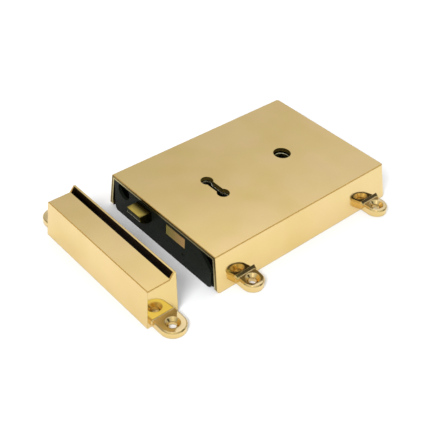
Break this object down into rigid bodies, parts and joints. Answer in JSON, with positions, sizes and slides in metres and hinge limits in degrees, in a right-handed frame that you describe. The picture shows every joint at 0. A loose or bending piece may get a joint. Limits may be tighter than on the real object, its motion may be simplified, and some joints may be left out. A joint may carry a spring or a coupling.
{
  "type": "rim lock",
  "caption": "Rim lock in a cast brass cover with a steel case, spring latch bolt, lever dead bolt, spindle follower and a separate cast brass keep.",
  "frame": {"origin": "the middle of the cover's four screw holes, on the face that lies against the door", "axes": "+X along the lock away from the bolts, so they come out towards -X; +Z from the door into the room"},
  "size_m": [0.2178, 0.1467, 0.0322],
  "materials": {
    "polished_brass": "polished, unlacquered",
    "bolt_brass": "drawn, lightly dulled",
    "lever_brass": "stamped sheet",
    "black_steel": "black japanned",
    "bright_steel": "turned",
    "tail_steel": "pressed and oiled",
    "spring_steel": "blued spring wire and strip"
  },
  "bodies": {
    "lock": {"lock_cover": "polished_brass", "lock_case": "black_steel", "case_cap": "black_steel", "cap_pillars": "bright_steel", "cap_screws": "bright_steel", "latch_guide": "bright_steel", "spring_rod": "bright_steel", "latch_spring": "spring_steel", "lever_pivot": "bright_steel", "lever_collar": "bright_steel", "lever_spring_1": "spring_steel", "lever_spring_2": "spring_steel", "lever_spring_3": "spring_steel", "keep": "polished_brass"},
    "latch": {"latch_head": "bolt_brass", "latch_tail": "tail_steel", "latch_rivets": "bright_steel"},
    "follower": {"follower": "tail_steel"},
    "dead_bolt": {"dead_bolt_head": "bolt_brass", "dead_bolt_tail": "tail_steel", "dead_bolt_rivets": "bright_steel", "bolt_stump": "bright_steel"},
    "lever_1": {"lever_1": "lever_brass"},
    "lever_2": {"lever_2": "lever_brass"},
    "lever_3": {"lever_3": "lever_brass"}
  },
  "joints": [
    {"name": "latch_slide", "type": "slide", "parent": "lock", "child": "latch", "axis": [1, 0, 0], "range_m": [0, 0.0095], "stiffness_N_per_m": 400, "springref_m": -0.01, "deforming": ["latch_spring"]},
    {"name": "follower_turn", "type": "hinge", "parent": "lock", "child": "follower", "pos_m": [0.026, 0, 0], "axis": [0, 0, -1], "range_deg": [0, 33.01]},
    {"name": "dead_bolt_slide", "type": "slide", "parent": "lock", "child": "dead_bolt", "axis": [-1, 0, 0], "range_m": [0, 0.0125]},
    {"name": "lever_1_turn", "type": "hinge", "parent": "lock", "child": "lever_1", "pos_m": [0.002, -0.028, 0], "axis": [0, 0, 1], "range_deg": [0, 3.41], "deforming": ["lever_spring_1"]},
    {"name": "lever_2_turn", "type": "hinge", "parent": "lock", "child": "lever_2", "pos_m": [0.002, -0.028, 0], "axis": [0, 0, 1], "range_deg": [0, 3.81], "deforming": ["lever_spring_2"]},
    {"name": "lever_3_turn", "type": "hinge", "parent": "lock", "child": "lever_3", "pos_m": [0.002, -0.028, 0], "axis": [0, 0, 1], "range_deg": [0, 4.21], "deforming": ["lever_spring_3"]}
  ],
  "couplings": [
    {"joint": "follower_turn", "follows": "latch_slide", "rad_per_m": 60.627},
    {"joint": "lever_1_turn", "follows": "dead_bolt_slide", "rad_per_m": 4.7473},
    {"joint": "lever_2_turn", "follows": "dead_bolt_slide", "rad_per_m": 5.3058},
    {"joint": "lever_3_turn", "follows": "dead_bolt_slide", "rad_per_m": 5.8643}
  ]
}
